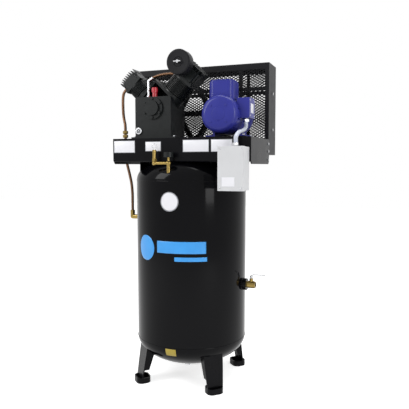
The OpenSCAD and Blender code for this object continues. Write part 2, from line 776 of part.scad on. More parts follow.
module stator() color([0.3, 0.3, 0.32])
    difference() {
        along_y(motor_right, motor_front + 30, motor_back - 50, motor_z, motor_r - 6);
        along_y(motor_right, motor_front + 29, motor_back - 49, motor_z, 56);
    }

module capacitor_cover() color([0.2, 0.21, 0.54])
    difference() {
        union() {
            rounded_plate([motor_right - 66, motor_front - 60], [motor_right + 66, motor_front + 70], 30,
                motor_z + 60, motor_z + 168);
            rounded_plate([motor_right - 60, motor_front - 54], [motor_right + 60, motor_front + 64], 26,
                motor_z + 168 - over, motor_z + 176);
        }
        rounded_plate([motor_right - 62, motor_front - 56], [motor_right + 62, motor_front + 66], 26,
            motor_z + 60 - over, motor_z + 164);
        along_y(motor_right, motor_front - 100, motor_back, motor_z, motor_r + fit);
    }

box_x0 = motor_right + 80;
box_x1 = motor_right + 148;
box_z0 = motor_z - 20;
box_z1 = motor_z + 82;
module motor_conduit_box() color([0.2, 0.21, 0.54])
    difference() {
        span([box_x0, motor_front - 34, box_z0], [box_x1, motor_front + 66, box_z1]);
        span([box_x0 + 3, motor_front - 31, box_z0 + 3], [box_x1 - 3, motor_front + 63, box_z1 - 3]);
        along_y(motor_right, motor_front - 100, motor_back, motor_z, motor_r + fit);
        translate([conduit_x, conduit_y, box_z0 - over]) cylinder(r = 11, h = 6);
    }

module motor_rotor() color("silver")
    union() {
        along_y(motor_right, motor_front - bell_len + 14, belt_y + 30, motor_z, motor_shaft_r);
        along_y(motor_right, motor_front + 28, motor_back - 52, motor_z, 55);
        for (a = [0:45:315])
            translate([motor_right, 0, motor_z]) rotate([0, a, 0])
                span([12, motor_back - 40, -2], [60, motor_back - 8, 2]);
    }

module motor_pulley() color([0.16, 0.16, 0.17])
    difference() {
        union() {
            along_y(motor_right, belt_y - flywheel_half, belt_y + flywheel_half, motor_z, pulley_r);
            along_y(motor_right, belt_y + flywheel_half - over, belt_y + flywheel_half + 10, motor_z, 30);
        }
        groove_cuts(motor_right, motor_z, pulley_r);
        along_y(motor_right, belt_y - 60, belt_y + 60, motor_z, motor_shaft_r + fit);
    }

// the loop that a belt follows, seen from the front, at a distance out from the groove floors
drive_dx = motor_right - crank_x;
drive_dz = motor_z - crank_z;
drive_c = norm([drive_dx, drive_dz]);
drive_lean = atan2(drive_dz, drive_dx);
drive_wrap = acos((flywheel_r - pulley_r) / drive_c);
module belt_loop(out) {
    rf = flywheel_r - belt_h + out;
    rp = pulley_r - belt_h + out;
    translate([crank_x, crank_z]) rotate(drive_lean)
        union() {
            circle(r = rf);
            translate([drive_c, 0]) circle(r = rp);
            polygon([rf * [cos(drive_wrap), sin(drive_wrap)],
                [drive_c, 0] + rp * [cos(drive_wrap), sin(drive_wrap)],
                [drive_c, 0] + rp * [cos(drive_wrap), -sin(drive_wrap)],
                rf * [cos(drive_wrap), -sin(drive_wrap)]]);
        }
}

module v_belts() color([0.08, 0.08, 0.08])
    for (s = [-1, 1])
        translate([0, belt_y + s * belt_pitch / 2 + 2.6, 0]) rotate([90, 0, 0])
            linear_extrude(5.2) difference() {
                belt_loop(belt_h + 2);
                belt_loop(1);
            }

// ---- guard ----

guard_back = guard_front + guard_d;
guard_top = guard_low + guard_h;
guard_sheet = 2;
rim_w = 22;
tab_h = 3;
module guard_frame() color([0.09, 0.09, 0.1]) {
    difference() {
        span([-guard_left, guard_front, guard_low], [guard_right, guard_back, guard_top]);
        span([-guard_left + guard_sheet, guard_front + guard_sheet, guard_low + guard_sheet],
            [guard_right - guard_sheet, guard_back - guard_sheet, guard_top - guard_sheet]);
        span([-guard_left + rim_w, guard_front - over, guard_low + rim_w],
            [guard_right - rim_w, guard_back + over, guard_top - rim_w - 12]);
        for (s = [-guard_left, guard_right], z = guard_screws())
            along_x(s - 4, s + 4, (guard_front + guard_back) / 2, z, bolt_r + fit);
    }
    // tabs that rest on the back edge of the deck
    span([guard_right - rim_w, deck_back - 30, deck_z], [guard_right, guard_front + over, deck_z + tab_h]);
    span([-guard_left, deck_back - 30, deck_z],
        [-guard_left + rim_w + 50, guard_front + over, deck_z + tab_h]);
}

function guard_screws() = [guard_low + 0.28 * guard_h, guard_low + 0.68 * guard_h];

// a mesh panel, as a plain sheet
module mesh_panel(y) {
    span([-guard_left + rim_w - 8, y, guard_low + rim_w - 8],
        [guard_right - rim_w + 8, y + guard_sheet, guard_top - rim_w - 4]);
}

module guard_mesh() color([0.07, 0.07, 0.08])
    union() {
        difference() {
            mesh_panel(guard_front + guard_sheet);
            along_y(crank_x, guard_front - over, guard_front + 10, crank_z, shaft_r + 12);
            along_y(motor_right, guard_front - over, guard_front + 10, motor_z, motor_r + 6);
        }
        mesh_panel(guard_back - 2 * guard_sheet);
    }

// ---- starter and wiring ----

starter_x0 = 278;
starter_x1 = starter_x0 + starter_w;
starter_y1 = -deck_front;
starter_y0 = starter_y1 - starter_d;
starter_z1 = deck_z - 52;
starter_z0 = starter_z1 - starter_h;
module starter_base() color([0.81, 0.81, 0.82])
    difference() {
        span([starter_x0, starter_y0 + 30, starter_z0], [starter_x1, starter_y1, starter_z1]);
        span([starter_x0 + 2, starter_y0 + 29, starter_z0 + 2],
            [starter_x1 - 2, starter_y1 - 2, starter_z1 - 2]);
        translate([conduit_x, conduit_y2, starter_z1 - 4]) cylinder(r = 11, h = 8);
        translate([conduit_x, conduit_y2, starter_z0 - 4]) cylinder(r = 11, h = 8);
    }

module starter_cover() color([0.83, 0.83, 0.84])
    difference() {
        span([starter_x0 - 1.5, starter_y0, starter_z0 - 1.5],
            [starter_x1 + 1.5, starter_y0 + 30 - fit, starter_z1 + 1.5]);
        span([starter_x0 + 2, starter_y0 + 3, starter_z0 + 2],
            [starter_x1 - 2, starter_y0 + 31, starter_z1 - 2]);
    }

module contactor() color([0.1, 0.1, 0.1])
    union() {
        span([starter_x0 + 36, starter_y1 - 62, starter_z0 + 70],
            [starter_x1 - 36, starter_y1 - 2, starter_z1 - 50]);
        span([starter_x0 + 42, starter_y1 - 50, starter_z0 + 30],
            [starter_x1 - 42, starter_y1 - 2, starter_z0 + 70 + over]);
    }

conduit_x = starter_x0 + 70;
conduit_y = motor_front - 2;
conduit_y2 = starter_y1 - 40;
conduit_r = 10.5;
conduit_bend = 60;
module wiring_conduit() color([0.78, 0.8, 0.84])
    run([[conduit_x, conduit_y, box_z0 + 3], [conduit_x, conduit_y, box_z0 - conduit_bend],
        [conduit_x, conduit_y2, box_z0 - 1.4 * conduit_bend], [conduit_x, conduit_y2, starter_z1 - 4]],
        conduit_r, [1, 0, 0]);

// ---- gauge, safety valve and the pipe that carries them ----

pipe_z = apron_low + 4;
gauge_x = -12;
gauge_y = -deck_front - 34;
relief_x = -92;
module manifold() color([0.5, 0.48, 0.42])
    difference() {
        union() {
            bar([gauge_x, gauge_y, tan_high + 20], [gauge_x, gauge_y, pipe_z], 10);
            translate([gauge_x, gauge_y, pipe_z]) sphere(r = 14);
            bar([gauge_x, gauge_y, pipe_z], [gauge_x, gauge_y, gauge_z], 7);
            bar([relief_x, gauge_y, pipe_z], [gauge_x, gauge_y, pipe_z], 8);
            translate([relief_x, gauge_y, pipe_z]) sphere(r = 12);
        }
        // the pipe starts at the outside of the tank
        translate([0, 0, tan_high]) rotate_extrude()
            polygon(concat(dome(tank_r, head_depth), [[0, 0]]));
        translate([relief_x, gauge_y, relief_z]) cylinder(r = 14, h = 20);
    }

gauge_r = 25;
gauge_z = pipe_z + 30;
module gauge_case() color([0.12, 0.12, 0.13])
    difference() {
        translate([gauge_x, gauge_y, gauge_z]) cylinder(r = gauge_r, h = 26);
        translate([gauge_x, gauge_y, gauge_z + 12]) cylinder(r = gauge_r - 3, h = 15);
    }

module gauge_needle() color([0.7, 0.1, 0.1])
    union() {
        translate([gauge_x, gauge_y, gauge_z + 12 + gap]) cylinder(r = 2.5, h = 4);
        span([gauge_x - 1, gauge_y - 1, gauge_z + 14], [gauge_x + 1, gauge_y + 18, gauge_z + 15.2]);
    }

relief_r = 10;
relief_z = pipe_z + 8;
module safety_valve() color([0.71, 0.6, 0.28])
    difference() {
        union() {
            translate([relief_x, gauge_y, relief_z]) cylinder(r = 13, h = 16, $fn = 6);
            translate([relief_x, gauge_y, relief_z + 15]) cylinder(r = relief_r, h = 46);
        }
        translate([relief_x, gauge_y, relief_z + 30]) cylinder(r = 3 + gap, h = 60);
    }

module safety_ring() color("silver")
    union() {
        translate([relief_x, gauge_y, relief_z + 36]) cylinder(r = 3, h = 34);
        translate([relief_x, gauge_y, relief_z + 80]) rotate([90, 0, 0])
            rotate_extrude() translate([12, 0]) circle(r = 1.6, $fn = 24);
    }

// ---- fasteners: all the same hex bolt ----

head_r = 8;
head_h = 6;
module hex_bolt(grip) {
    cylinder(r = head_r, h = head_h, $fn = 6);
    translate([0, 0, -grip]) cylinder(r = bolt_r, h = grip + over);
}

module head_bolts(side, half, deck)
    on_bank(side) for (x = [-1, 1], y = [-1, 1])
        translate([x * (half - 9), y * (half - 9), deck + 16]) hex_bolt(15);

module hex_bolts() color([0.6, 0.6, 0.62])
    union() {
        for (p = pump_bolts())
            translate([p.x, p.y, deck_z + 14]) hex_bolt(14 + deck_sheet);
        for (p = motor_bolts())
            translate([p.x, p.y, motor_foot_z + 8]) hex_bolt(18 + deck_sheet);
        for (a = [30:60:330])
            cover_bolt_place(a, crankcase_front - 10) hex_bolt(9);
        head_bolts(-1, stage2_half, stage2_deck);
        head_bolts(1, stage1_half, stage1_deck);
        for (z = apron_bolts())
            translate([deck_right, apron_bolt_y, z]) rotate([0, 90, 0]) hex_bolt(deck_sheet);
        for (z = guard_screws()) {
            translate([guard_right, (guard_front + guard_back) / 2, z]) rotate([0, 90, 0]) hex_bolt(4);
            translate([-guard_left, (guard_front + guard_back) / 2, z]) rotate([0, -90, 0]) hex_bolt(4);
        }
    }

tank_shell();
tank_top_head();
tank_bottom_head();
foot_front_left();
foot_front_right();
foot_rear_left();
foot_rear_right();
outlet_bung();
ball_valve_body();
ball_valve_ball();
ball_valve_lever();
inlet_bung();
check_valve();
riser_tube();
discharge_tube();
drain_valve();
drain_handle();
deck();
deck_supports();
crankcase();
front_bearing_cover();
crank_bearings();
crankshaft();
flywheel();
stage2_cylinder();
stage2_head();
stage2_piston();
stage1_cylinder();
stage1_head();
stage1_piston();
intercooler_tube();
filter_housing();
filter_cover();
filter_element();
wing_nut();
oil_sight_glass();
oil_cap();
breather_tube();
motor_frame();
motor_front_bell();
motor_rear_bell();
stator();
capacitor_cover();
motor_conduit_box();
motor_base();
motor_rotor();
motor_pulley();
v_belts();
guard_frame();
guard_mesh();
starter_base();
starter_cover();
contactor();
wiring_conduit();
manifold();
gauge_case();
gauge_needle();
safety_valve();
safety_ring();
hex_bolts();
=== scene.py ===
"""Vertical two-stage air compressor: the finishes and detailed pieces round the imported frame."""
import math

import bmesh
import bpy
from mathutils import Matrix, Vector


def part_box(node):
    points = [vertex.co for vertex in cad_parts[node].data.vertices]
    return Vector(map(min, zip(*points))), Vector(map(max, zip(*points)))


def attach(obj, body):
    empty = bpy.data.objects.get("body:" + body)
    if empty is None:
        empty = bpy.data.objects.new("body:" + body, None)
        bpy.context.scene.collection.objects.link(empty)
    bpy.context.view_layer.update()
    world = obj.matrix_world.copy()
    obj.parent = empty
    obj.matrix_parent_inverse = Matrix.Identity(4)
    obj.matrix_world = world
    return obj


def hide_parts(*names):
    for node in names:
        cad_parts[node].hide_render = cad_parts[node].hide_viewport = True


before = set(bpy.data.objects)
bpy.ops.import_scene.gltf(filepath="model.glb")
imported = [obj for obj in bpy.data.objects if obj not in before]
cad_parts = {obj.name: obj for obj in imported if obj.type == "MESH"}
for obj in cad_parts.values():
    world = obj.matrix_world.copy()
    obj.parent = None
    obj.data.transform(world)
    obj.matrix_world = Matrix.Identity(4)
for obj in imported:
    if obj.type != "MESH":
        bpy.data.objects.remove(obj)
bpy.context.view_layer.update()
MM = 0.001


# ---- small helpers ----

def linear(hex_colour):
    """An sRGB hex colour as the linear RGBA that the shaders take."""
    parts = [int(hex_colour[i:i + 2], 16) / 255 for i in (1, 3, 5)]
    return [c / 12.92 if c <= 0.04045 else ((c + 0.055) / 1.055) ** 2.4 for c in parts] + [1.0]


def add(tree, kind, inputs=None, **settings):
    """Adds a node with its settings, and gives each input a value or a link."""
    made = tree.nodes.new(kind)
    for key, value in settings.items():
        setattr(made, key, value)
    for key, value in (inputs or {}).items():
        if isinstance(value, bpy.types.NodeSocket):
            tree.links.new(value, made.inputs[key])
        else:
            made.inputs[key].default_value = value
    return made


def low(name):
    return Vector(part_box(name)[0])


def high(name):
    return Vector(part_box(name)[1])


def middle(name):
    return (low(name) + high(name)) / 2


# ---- materials ----

def finish(name, dark, light, rough, metallic=0.0, grain=40 * MM, stretch=(1, 1, 1), bump=0.1, bump_grain=1.5 * MM,
           rough_vary=0.06, coat=0.0, coat_rough=0.05, specular=0.5, edge_wear_and_sheen=None):
    """A real surface: two close tones that drift over it, fine relief, drifting gloss and, if asked, a lighter colour
    in patches along its edges: worn paint on some finishes, a painted highlight standing in for edge sheen on the
    guard.
    """
    material = bpy.data.materials.new(name)
    material.use_nodes = True
    tree = material.node_tree
    shader = tree.nodes["Principled BSDF"]
    place = add(tree, "ShaderNodeTexCoord").outputs["Object"]
    place = add(tree, "ShaderNodeMapping", {"Vector": place, "Scale": stretch}).outputs["Vector"]
    drift = add(tree, "ShaderNodeTexNoise", {"Vector": place, "Scale": 1 / grain, "Detail": 4.0})
    tone = add(tree, "ShaderNodeMix", {"Factor": drift.outputs["Fac"]}, data_type="RGBA")
    tone.inputs[6].default_value = linear(dark)
    tone.inputs[7].default_value = linear(light)
    colour = tone.outputs[2]
    if edge_wear_and_sheen:
        # lighter colour in patches along convex edges: rubbed paint on the black plate, a painted highlight (edge sheen
        # painted into the colour) on the satin guard, plain lighter edges on the casting and the blue enamel
        edge = add(tree, "ShaderNodeBevel", {"Radius": 1.2 * MM}, samples=4).outputs["Normal"]
        flat = add(tree, "ShaderNodeNewGeometry").outputs["Normal"]
        turn = add(tree, "ShaderNodeVectorMath", {0: edge, 1: flat}, operation="DOT_PRODUCT").outputs["Value"]
        edge_wear_and_sheen_mask = add(tree, "ShaderNodeMapRange", {"Value": turn, "From Min": 0.98, "From Max": 0.9}).outputs["Result"]
        patchy = add(tree, "ShaderNodeMath", {0: edge_wear_and_sheen_mask, 1: drift.outputs["Fac"]}, operation="MULTIPLY").outputs[0]
        edge_wear_and_sheen_mix = add(tree, "ShaderNodeMix", {"Factor": patchy, 6: colour}, data_type="RGBA")
        edge_wear_and_sheen_mix.inputs[7].default_value = linear(edge_wear_and_sheen)
        colour = edge_wear_and_sheen_mix.outputs[2]
    tree.links.new(colour, shader.inputs["Base Color"])
    fine = add(tree, "ShaderNodeTexNoise", {"Vector": place, "Scale": 1 / bump_grain, "Detail": 3.0})
    gloss = add(tree, "ShaderNodeMapRange", {"Value": drift.outputs["Fac"], "To Min": max(rough - rough_vary, 0.02),
                                             "To Max": rough + rough_vary})
    tree.links.new(gloss.outputs["Result"], shader.inputs["Roughness"])
    relief = add(tree, "ShaderNodeBump", {"Height": fine.outputs["Fac"], "Strength": bump, "Distance": 0.3 * MM})
    tree.links.new(relief.outputs["Normal"], shader.inputs["Normal"])
    shader.inputs["Metallic"].default_value = metallic
    shader.inputs["Specular IOR Level"].default_value = specular
    shader.inputs["Coat Weight"].default_value = coat
    shader.inputs["Coat Roughness"].default_value = coat_rough
    return material


def gloss_black_enamel():
    # powder-coated steel, gloss black: sharp reflections with a slight orange peel
    return finish("gloss_black_powder_coat", "#050507", "#08080b", 0.12, grain=300 * MM, bump=0.04, bump_grain=6 * MM,
                  rough_vary=0.03, coat=0.06, specular=0.06)


def black_plate_enamel():
    # sprayed enamel on folded plate: a little duller than the tank, with rubbed corners
    return finish("sprayed_black_enamel", "#08080a", "#0d0d11", 0.28, grain=90 * MM, bump=0.08, bump_grain=3 * MM,
                  coat=0.04, specular=0.07, edge_wear_and_sheen="#222225")


def satin_black_guard():
    # satin powder coat on thin sheet and mesh: its edges get a lighter grey colour, a painted highlight standing in for
    # a soft sheen
    return finish("satin_black_powder_coat", "#131315", "#1b1b1e", 0.42, grain=60 * MM, bump=0.1, bump_grain=1 * MM,
                  specular=0.12, edge_wear_and_sheen="#2c2c2f")


def painted_casting():
    # sand-cast iron under dark grey-green enamel: pebbled skin and drifting gloss
    return finish("painted_sand_cast_iron", "#101213", "#1a1d1d", 0.38, grain=25 * MM, bump=0.4, bump_grain=2.2 * MM,
                  rough_vary=0.12, coat=0.06, specular=0.16, edge_wear_and_sheen="#303335")


def blue_motor_enamel():
    # blue enamel on rolled steel and cast bells: smooth, with a slightly lighter drift
    return finish("blue_motor_enamel", "#2a2d80", "#34388f", 0.3, grain=80 * MM, bump=0.1, bump_grain=2.5 * MM,
                  coat=0.12, specular=0.15, edge_wear_and_sheen="#4a4f9c")


def grey_box_enamel():
    # light grey textured enamel on pressed sheet: fine leather-like relief
    return finish("light_grey_textured_enamel", "#c3c4c6", "#d2d3d5", 0.42, grain=120 * MM, bump=0.25,
                  bump_grain=0.9 * MM)


def conduit_plastic():
    # pale grey PVC over flexible conduit: a soft skin with a slightly uneven relief
    return finish("grey_pvc_conduit", "#b9bfcd", "#ccd1dd", 0.4, grain=30 * MM, bump=0.3, bump_grain=3 * MM)


def turned_brass():
    # turned and wrench-marked brass: warm, slightly dulled, streaked round
    return finish("turned_brass", "#7d6a38", "#9c8650", 0.3, 1.0, grain=12 * MM, bump=0.15, bump_grain=0.8 * MM,
                  stretch=(1, 1, 4), rough_vary=0.1)


def bright_steel():
    # zinc-plated steel: bright, fine drawn streaks
    return finish("zinc_plated_steel", "#b4b5b8", "#cfd0d2", 0.24, 1.0, grain=10 * MM, bump=0.15, bump_grain=0.7 * MM,
                  stretch=(1, 1, 3), rough_vary=0.08)


def dark_steel():
    # machined steel under a thin oil film: darker, softer reflections
    return finish("oiled_machined_steel", "#77787b", "#929396", 0.32, 1.0, grain=14 * MM, bump=0.15,
                  bump_grain=0.8 * MM)


def aged_copper():
    # drawn copper tube browned by heat: colour shifts along it
    return finish("heat_browned_copper", "#4e3a2c", "#755843", 0.32, 1.0, grain=120 * MM, bump=0.1, bump_grain=1.5 * MM,
                  rough_vary=0.12)


def red_cap_plastic():
    # moulded red nylon: semi-gloss with a faint grain
    return finish("moulded_red_nylon", "#a01a28", "#b62432", 0.32, grain=15 * MM, bump=0.12, bump_grain=0.8 * MM)


def belt_rubber():
    # wrapped fabric-reinforced rubber: matt, with a crossed textile grain
    return finish("wrapped_belt_rubber", "#101010", "#1b1b1b", 0.75, grain=8 * MM, bump=0.5, bump_grain=1.0 * MM)


def black_phenolic():
    # moulded phenolic resin: dark, low sheen
    return finish("moulded_black_phenolic", "#111112", "#19191a", 0.45, grain=20 * MM, bump=0.15, bump_grain=1 * MM)


def pleated_paper():
    # resin-treated filter paper: pale, matt, fibrous
    return finish("pleated_filter_paper", "#cfc08e", "#e0d3a6", 0.85, grain=10 * MM, bump=0.5, bump_grain=0.8 * MM)


def sticker_white():
    # vinyl film: plain white, lightly glossy
    return finish("plain_white_vinyl", "#dedee3", "#e9e9ee", 0.35, grain=60 * MM, bump=0.03, bump_grain=2 * MM)


def sticker_grey():
    # grey vinyl film: the borders of the blank labels
    return finish("plain_grey_vinyl", "#8f9196", "#a0a2a7", 0.38, grain=40 * MM, bump=0.03, bump_grain=2 * MM)


def sticker_blue():
    # pale blue vinyl film: plain stripes
    return finish("plain_blue_vinyl", "#2f90dc", "#3fa2ee", 0.3, grain=60 * MM, bump=0.03, bump_grain=2 * MM)


def sticker_yellow():
    # dull yellow vinyl film
    return finish("plain_yellow_vinyl", "#a08b2a", "#b39d34", 0.4, grain=40 * MM, bump=0.03, bump_grain=2 * MM)


def sight_glass_lens():
    # pressed glass: pale grey, very smooth, strongly reflecting
    return finish("amber_sight_glass", "#6b6f72", "#8a8e92", 0.08, grain=12 * MM, bump=0.02,
                  bump_grain=2 * MM, coat=1.0)


TANK = gloss_black_enamel()
PLATE = black_plate_enamel()
GUARD = satin_black_guard()
CASTING = painted_casting()
BLUE = blue_motor_enamel()
GREY = grey_box_enamel()
CONDUIT = conduit_plastic()
BRASS = turned_brass()
STEEL = bright_steel()
DARK_STEEL = dark_steel()
COPPER = aged_copper()
RED = red_cap_plastic()
RUBBER = belt_rubber()
PHENOLIC = black_phenolic()
PAPER = pleated_paper()
WHITE = sticker_white()
EDGE_GREY = sticker_grey()
STRIPE = sticker_blue()
YELLOW = sticker_yellow()
LENS = sight_glass_lens()


# ---- making meshes ----

SHARP = math.radians(32)


def mark_sharp(bm):
    for face in bm.faces:
        face.smooth = True
    for edge in bm.edges:
        edge.smooth = len(edge.link_faces) != 2 or edge.calc_face_angle(0) < SHARP


def finished(name, bm, material, body="root", replaces=(), closed=True):
    """Turns a bmesh into a piece that rides on a body and stands for its CAD nodes."""
    if closed:
        bmesh.ops.remove_doubles(bm, verts=bm.verts, dist=1e-6)
        bmesh.ops.recalc_face_normals(bm, faces=bm.faces)
    mark_sharp(bm)
    mesh = bpy.data.meshes.new(name)
    bm.to_mesh(mesh)
    bm.free()
    mesh.materials.append(material)
    piece = bpy.data.objects.new(name, mesh)
    bpy.context.scene.collection.objects.link(piece)
    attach(piece, body)
    if replaces:
        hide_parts(*replaces)
    return piece


def turned(direction):
    """The turn that takes +Z to a direction."""
    return Vector((0, 0, 1)).rotation_difference(Vector(direction)).to_matrix().to_4x4()


def block(bm, lo, hi, round_by=0.0, segments=3, turn=None):
    """A box between two corners with rounded edges; a turn is applied last."""
    lo, hi = Vector(lo), Vector(hi)
    made = bmesh.ops.create_cube(bm, size=1)["verts"]
    place = Matrix.Translation((lo + hi) / 2) @ Matrix.Diagonal((*(hi - lo), 1))
    bmesh.ops.transform(bm, matrix=place, verts=made)
    if round_by:
        edges = list({e for v in made for e in v.link_edges})
        made = bmesh.ops.bevel(bm, geom=edges, offset=round_by, segments=segments, profile=0.5, affect="EDGES",
                               material=-1, clamp_overlap=True)["verts"]
    if turn is not None:
        bmesh.ops.transform(bm, matrix=turn, verts=made)


def lathe(bm, origin, direction, outline, steps=72):
    """A closed outline of (radius, height) points spun round an axis."""
    verts = [bm.verts.new((r, 0, h)) for r, h in outline]
    edges = [bm.edges.new((a, b)) for a, b in zip(verts, verts[1:])]
    made = bmesh.ops.spin(bm, geom=verts + edges, cent=(0, 0, 0), axis=(0, 0, 1), dvec=(0, 0, 0), angle=math.tau,
                          steps=steps, use_merge=True)
    around = set(verts)
    stack = list(verts)
    while stack:
        for edge in stack.pop().link_edges:
            for vert in edge.verts:
                if vert not in around:
                    around.add(vert)
                    stack.append(vert)
    around = list(around)
    bmesh.ops.remove_doubles(bm, verts=around, dist=1e-6)
    around = [v for v in around if v.is_valid]
    bmesh.ops.transform(bm, matrix=Matrix.Translation(origin) @ turned(direction), verts=around)


def rounded_disc(radius, depth, edge, hollow=0.0):
    """Outline of a disc with one rounded rim, for lathe(); it starts and ends on the axis or at its bore."""
    rim = [(radius - edge + edge * math.sin(a), depth - edge + edge * math.cos(a))
           for a in (math.pi / 2 * i / 6 for i in range(6, -1, -1))]
    return [(hollow, 0), (radius, 0)] + rim + [(hollow, depth)] + ([(hollow, 0)] if hollow else [])


def hex_nut(bm, origin, direction, radius, height):
    """A hexagon with eased rims, standing on a point along a direction."""
    made = bmesh.ops.create_cone(bm, cap_ends=True, segments=6, radius1=radius, radius2=radius, depth=height)["verts"]
    edges = [e for v in made for e in v.link_edges if abs(e.verts[0].co.z - e.verts[1].co.z) < 1e-7]
    made = bmesh.ops.bevel(bm, geom=list(set(edges)), offset=height * 0.12, segments=2, profile=0.5, affect="EDGES",
                           material=-1)["verts"] + made
    made = list({v for v in made if v.is_valid})
    bmesh.ops.transform(bm, verts=made, matrix=Matrix.Translation(origin) @ turned(direction)
                        @ Matrix.Translation((0, 0, height / 2)))


def softened(node, material, width=1.5 * MM, body="root", segments=2):
    """A copy of a CAD node's mesh with its sharp edges rounded, as a folded, cast or machined piece has them."""
    bm = bmesh.new()
    bm.from_mesh(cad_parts[node].data)
    bmesh.ops.remove_doubles(bm, verts=bm.verts, dist=1e-5)
    bmesh.ops.dissolve_limit(bm, angle_limit=math.radians(0.5), verts=bm.verts, edges=bm.edges)
    piece = finished(node + "_soft", bm, material, body, (node,), closed=False)
    bevel = piece.modifiers.new("edges", "BEVEL")
    bevel.width = width
    bevel.segments = segments
    bevel.limit_method = "ANGLE"
    bevel.angle_limit = SHARP
    bevel.harden_normals = True
    return piece


def paint(node, material):
    """Gives a carried-over CAD node its finish."""
    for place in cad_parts[node].material_slots:
        place.material = material


# ---- camera, light and floor ----

VIEW_AZIMUTH = math.radians(22)
VIEW_DISTANCE = 2.9
VIEW_HEIGHT = 1.188
VIEW_DOWN = math.radians(4.3)
VIEW_RIGHT = math.radians(1.44)
SKY_LIGHT = 0.4
FLOOR_GLOW = 0.68
# name, place, target, size, power
LAMPS = (
    ("key", (-2.6, -2.6, 3.0), (0, 0, 1.0), (1.6, 2.4), 95),
    ("fill", (3.2, -2.0, 1.9), (0, 0, 1.1), (1.2, 2.4), 60),
    ("top", (0.4, 0.6, 4.0), (0, 0, 1.2), (2.0, 2.0), 60),
)


def set_camera():
    camera = bpy.data.cameras.new("camera")
    camera.lens = 45.3
    camera.sensor_width = 36
    made = bpy.data.objects.new("camera", camera)
    made.location = (math.sin(VIEW_AZIMUTH) * VIEW_DISTANCE, -math.cos(VIEW_AZIMUTH) * VIEW_DISTANCE, VIEW_HEIGHT)
    made.rotation_euler = (math.pi / 2 - VIEW_DOWN, 0, VIEW_AZIMUTH - VIEW_RIGHT)
    bpy.context.scene.collection.objects.link(made)
    bpy.context.scene.camera = made


def soft_lamp(name, place, target, size, power):
    lamp = bpy.data.lights.new(name, "AREA")
    lamp.shape = "RECTANGLE"
    lamp.size, lamp.size_y = size
    lamp.energy = power
    made = bpy.data.objects.new(name, lamp)
    made.location = place
    made.rotation_euler = (Vector(target) - Vector(place)).to_track_quat("-Z", "Y").to_euler()
    bpy.context.scene.collection.objects.link(made)


def seen_directly(tree):
    """1 where a ray comes from the camera, a reflection or glass, and 0 where it only lights a surface."""
    path = add(tree, "ShaderNodeLightPath")
    mirrored = add(tree, "ShaderNodeMath", {0: path.outputs["Is Glossy Ray"], 1: path.outputs["Is Transmission Ray"]},
                   operation="MAXIMUM")
    return add(tree, "ShaderNodeMath", {0: path.outputs["Is Camera Ray"], 1: mirrored.outputs[0]},
               operation="MAXIMUM").outputs[0]


def set_studio():
    scene = bpy.context.scene
    scene.view_settings.view_transform = "Standard"
    world = bpy.data.worlds.new("studio")
    scene.world = world
    world.use_nodes = True
    tree = world.node_tree
    back = tree.nodes["Background"]
    back.inputs["Color"].default_value = (1, 1, 1, 1)
    strength = add(tree, "ShaderNodeMapRange", {"Value": seen_directly(tree), "To Min": SKY_LIGHT, "To Max": 1.0})
    tree.links.new(strength.outputs["Result"], back.inputs["Strength"])
    for lamp in LAMPS:
        soft_lamp(*lamp)


def lay_floor():
    bm = bmesh.new()
    bmesh.ops.create_grid(bm, x_segments=1, y_segments=1, size=12)
    mesh = bpy.data.meshes.new("floor")
    bm.to_mesh(mesh)
    bm.free()
    material = bpy.data.materials.new("pale_floor")
    material.use_nodes = True
    tree = material.node_tree
    shader = tree.nodes["Principled BSDF"]
    shader.inputs["Base Color"].default_value = linear("#f4f4f4")
    shader.inputs["Roughness"].default_value = 0.9
    shader.inputs["Emission Color"].default_value = linear("#ffffff")
    glow = add(tree, "ShaderNodeMath", {0: seen_directly(tree), 1: FLOOR_GLOW}, operation="MULTIPLY")
    tree.links.new(glow.outputs[0], shader.inputs["Emission Strength"])
    mesh.materials.append(material)
    floor = bpy.data.objects.new("floor", mesh)
    bpy.context.scene.collection.objects.link(floor)


# ---- places taken from the frame ----

DECK_LO, DECK_HI = low("deck"), high("deck")
TANK_R = high("tank_shell").x
CRANK = middle("flywheel")
MOTOR = middle("motor_pulley")


# ---- tank ----

def dome_outline(radius, depth, steps=40):
    """A quarter ellipse from the rim to the axis, for lathe()."""
    quarter = [math.pi / 2 * i / steps for i in range(steps)]
    return [(radius * math.cos(a), depth * math.sin(a)) for a in quarter] + [(0, depth)]


def make_tank():
    shell_lo, shell_hi = low("tank_shell").z, high("tank_shell").z
    wall = 5 * MM
    bm = bmesh.new()
    lathe(bm, (0, 0, shell_lo), (0, 0, 1), [(TANK_R - wall, 0), (TANK_R, 0), (TANK_R, shell_hi - shell_lo),
                                            (TANK_R - wall, shell_hi - shell_lo), (TANK_R - wall, 0)], steps=160)
    finished("tank_shell_spun", bm, TANK, replaces=("tank_shell",))
    for node, rim, direction in (("tank_top_head", shell_hi, 1), ("tank_bottom_head", shell_lo, -1)):
        depth = high(node).z - low(node).z
        outer = dome_outline(TANK_R, depth)
        inner = dome_outline(TANK_R - wall, depth - wall)
        bm = bmesh.new()
        lathe(bm, (0, 0, rim), (0, 0, direction), outer + inner[::-1] + [outer[0]], steps=160)
        finished(node + "_spun", bm, TANK, replaces=(node,))
    # the two girth welds, ground low, and the bosses' fillet welds
    bead = 1.6 * MM
    for index, height in enumerate((shell_lo, shell_hi)):
        weld_ring(f"girth_weld_{index}", (0, 0, height), (0, 0, 1), TANK_R, bead, TANK, 160)
    weld_ring("outlet_weld", (TANK_R - 2 * MM, 0, middle("outlet_bung").z), (1, 0, 0), 33 * MM, 4 * MM, TANK, 48)
    weld_ring("inlet_weld", (-TANK_R + 2 * MM, 0, middle("inlet_bung").z), (1, 0, 0), 29 * MM, 3.5 * MM, TANK, 48)


